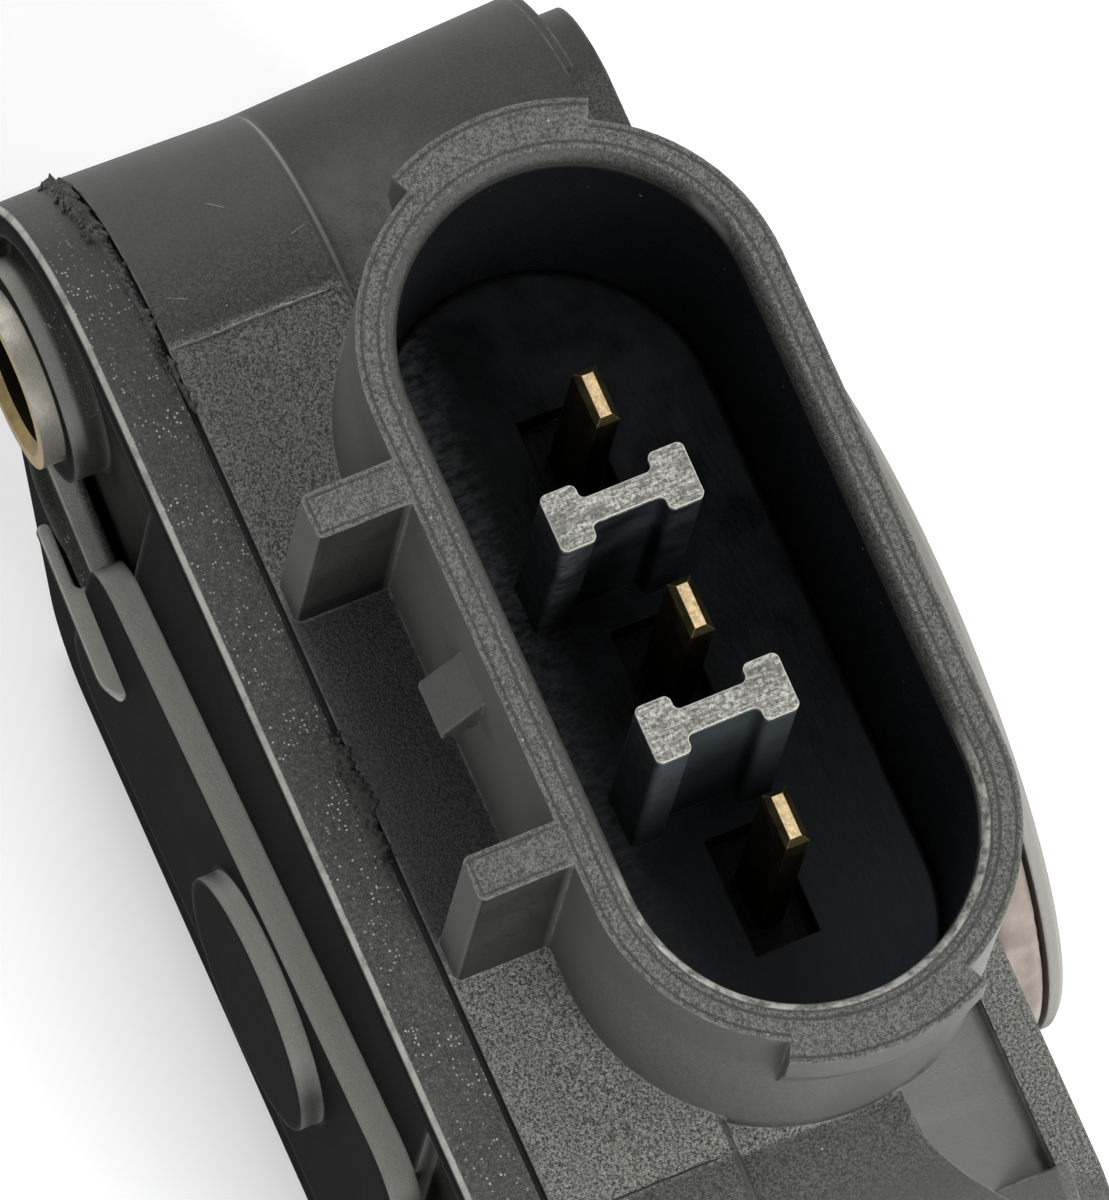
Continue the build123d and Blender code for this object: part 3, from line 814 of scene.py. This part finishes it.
def slope_fill(name, side, start, end, foot):
    """Fills the slope behind one ear up to a flatter one, which ends at foot above the flange's back.
    Its start dips under the moulded surface, so that no edge shows there."""
    front = flange_back_y - fill_gap
    crest = boss_top(0, slope_back_y)
    dip_y = slope_back_y - fill_dip_length
    rise_y = slope_back_y - fill_rise_length
    vertices = []
    for i in range(fill_stations + 1):
        x = start + (end - start) * i / fill_stations
        ring = []
        for lowest, sink in ((foot, -fill_proud), (slope_z(front), fill_dip)):
            ring.append((dip_y, boss_top(x, dip_y) - fill_dip - sink))
            ring.append((rise_y, boss_top(x, rise_y) - sink))
            turn = (crest - boss_top(x, fill_crease_y)) / max(crest - lowest, 0.01)
            for share in (min(max(turn, 0.02), 0.98), 1.0):
                y = slope_back_y + (front - slope_back_y) * share
                z = min(crest + (lowest - crest) * share, boss_top(x, y))
                ring.append((y, z - sink))
        ring[4:] = reversed(ring[4:])
        vertices += [(side * x, y, z) for y, z in ring]
    faces = tube_faces(fill_stations + 1, len(ring))
    if side < 0:
        faces = [tuple(reversed(face)) for face in faces]
    return add_mesh(name, vertices, faces)


def arc(centre, radius, start, end, count=12):
    """Points of an arc in the X-Y plane, with angles in degrees."""
    angles = [math.radians(start + (end - start) * i / count) for i in range(count + 1)]
    return [(centre[0] + radius * math.cos(a), centre[1] + radius * math.sin(a)) for a in angles]


def ear_lug(name):
    """Lug with an open slot, on the cover's back below the left bolt hole."""
    finger_tip = arc((-11.2, -16.71), 0.19, 90, 270, 8)
    outer_corner = arc((-7.4, -16.1), 0.8, 270, 360)
    slot_end = arc((-9.75, -16.3), 0.22, 90, -90)
    root = [(lug_right_x, lug_root_y), (lug_left_x, lug_root_y), (lug_left_x, lug_back_y)]
    outline = finger_tip + outer_corner + root + slot_end
    count = len(outline)
    vertices = []
    for x, y in outline:
        z = lug_top_z + lug_slope * (y - cover_edge_y) - lug_tilt * (x - lug_level_x)
        vertices.append((x, y, z))
    for x, y in outline:
        vertices.append((x, lug_foot_y + lug_taper * (y - lug_root_y), lug_bottom_z))
    faces = [tuple(range(count)), tuple(reversed(range(count, 2 * count)))]
    for a in range(count):
        b = (a + 1) % count
        faces.append((b, a, a + count, b + count))
    made = add_mesh(name, vertices, faces)
    bevel = made.modifiers.new("soft_edges", "BEVEL")
    bevel.width = lug_edge_radius * MM
    bevel.segments = 3
    bevel.limit_method = "ANGLE"
    bevel.angle_limit = math.radians(lug_edge_angle)
    return made


# Material and slot of each kind of piece
flash = (plain_look("flash_plastic", (0.03, 0.03, 0.028), 0.6, 9, 0.04), "housing")
pale_line = (plain_look("parting_line", (0.30, 0.30, 0.27), 0.6, 6, 0.02), "housing")
dark_line = (plain_look("parting_gap", (0.006, 0.006, 0.006), 0.7, 6, 0.02), "housing")
scratch = (plain_look("scratch", (0.22, 0.22, 0.20), 0.6, 6, 0.01), "housing")
bleed = (plain_look("sealant_bleed", (0.012, 0.012, 0.011), 0.65, 9, 0.05), "bead")
moulding = (looks["housing"], "housing")
bleed_run = (-1.5, 2.2)
left_line_x = -ear_x + 0.12
line_back_y = seam_y + 0.02
line_front_y = step_y - 0.3
seam_ridges = [
    # kind, name, start and end along the outline, y at both, half width, height, seed
    (flash, "seam_flash_clump", around_left(160), around_left(119), -14.08, -13.92, 0.24, 0.2, 3),
    (flash, "seam_flash_tail", around_left(121), around_left(90), -13.95, -13.76, 0.12, 0.09, 5),
    (flash, "seam_flash_crumbs", -11.9, -10.2, -13.74, -13.6, 0.1, 0.07, 7),
    (bleed, "sealant_bleed", *bleed_run, -13.78, -13.86, 0.26, 0.08, 11),
]
top_lines = [
    # kind, name, start and end as (along, y), half width, height, seed, raggedness
    (pale_line, "parting_line_left",
     (left_line_x, line_back_y), (left_line_x, line_front_y), 0.05, 0.05, 13, 1.0),
    (dark_line, "parting_line_right",
     (ear_x, line_back_y), (ear_x, line_front_y), 0.045, 0.02, 17, 0.5),
    (scratch, "scratch_long",
     (around_left(121.5), -11.1), (around_left(117.8), -10.7), 0.02, 0.012, 19, 0.4),
    (scratch, "scratch_low",
     (around_left(100.9), -13.15), (around_left(98.5), -12.6), 0.018, 0.012, 23, 0.4),
    (scratch, "scratch_far",
     (around_left(104.5), -9.6), (around_left(105.8), -9.1), 0.02, 0.012, 29, 0.4),
]
loose_grains = [
    # kind, name, start and end along the outline, y, spread, size, count, seed
    (flash, "seam_crumbs_clump", around_left(160), around_left(122), -14.0, 0.13, 0.1, 130, 31),
    (flash, "seam_crumbs_tail", around_left(126), around_left(84), -13.84, 0.06, 0.06, 90, 37),
    (bleed, "bleed_crumbs", *bleed_run, -13.85, 0.13, 0.06, 80, 41),
]
slope_fills = [
    # kind, name, side, start and end, height of the foot
    (moulding, "ear_fill_left", -1, fill_left_start_x, fill_end_x, rim_height),
    (moulding, "slope_fill_right", 1, fill_right_start_x, fill_end_x, fill_right_foot_z),
]
pieces = [(seam_ridge(*row), *kind) for kind, *row in seam_ridges]
pieces += [(top_line(*row), *kind) for kind, *row in top_lines]
pieces += [(crumbs(*row), *kind) for kind, *row in loose_grains]
pieces.append((ear_lug("ear_lug_left"), looks["rear_cover"], "cover"))
pieces += [(slope_fill(*row), *kind) for kind, *row in slope_fills]
for piece, material, slot in pieces:
    piece.data.materials.append(material)
    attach(piece, "body")


# Studio: pale floor, white surroundings, soft boxes
def background_rays(tree):
    """1 for rays that see the background itself: from the camera, or mirrored or passed on."""
    path = tree.nodes.new("ShaderNodeLightPath")
    total = path.outputs["Is Camera Ray"]
    for kind in ("Is Glossy Ray", "Is Transmission Ray"):
        added = tree.nodes.new("ShaderNodeMath")
        added.operation = "MAXIMUM"
        tree.links.new(total, added.inputs[0])
        tree.links.new(path.outputs[kind], added.inputs[1])
        total = added.outputs[0]
    return total


def floor_look():
    look = Look("studio_floor")
    return look.set(
        Base_Color=look.tint(floor_tone, look.noise(0.02, 3), 0.985, 1.015),
        Roughness=0.9,
        Emission_Color=white_colour,
        Emission_Strength=look.times(background_rays(look.tree), floor_glow),
    )


floor_corners = [
    (x * floor_half, y * floor_half, floor_height)
    for x, y in ((-1, -1), (1, -1), (1, 1), (-1, 1))
]
floor = add_mesh("studio_floor", floor_corners, [(0, 1, 2, 3)])
floor.data.materials.append(floor_look())

world = bpy.data.worlds.new("studio")
world.use_nodes = True
bpy.context.scene.world = world
tree = world.node_tree
surround = tree.nodes["Background"]
white = tree.nodes.new("ShaderNodeBackground")
for light, strength in ((surround, world_strength), (white, background_strength)):
    light.inputs["Color"].default_value = white_colour
    light.inputs["Strength"].default_value = strength
choice = tree.nodes.new("ShaderNodeMixShader")
tree.links.new(background_rays(tree), choice.inputs[0])
tree.links.new(surround.outputs[0], choice.inputs[1])
tree.links.new(white.outputs[0], choice.inputs[2])
tree.links.new(choice.outputs[0], tree.nodes["World Output"].inputs["Surface"])

for name, place, size, power in soft_boxes:
    data = bpy.data.lights.new(name, "AREA")
    data.shape = "SQUARE"
    data.size = size * MM
    data.energy = power
    lamp = bpy.data.objects.new(name, data)
    lamp.location = Vector(place) * MM
    lamp.rotation_euler = (-Vector(place)).to_track_quat("-Z", "Y").to_euler()
    bpy.context.scene.collection.objects.link(lamp)

camera_data = bpy.data.cameras.new("camera")
camera_data.lens = camera_lens
camera = bpy.data.objects.new("camera", camera_data)
camera.location = camera_place * MM
camera.rotation_euler = Euler([math.radians(angle) for angle in camera_turn])
bpy.context.scene.collection.objects.link(camera)
bpy.context.scene.camera = camera
bpy.context.scene.view_settings.view_transform = "Standard"
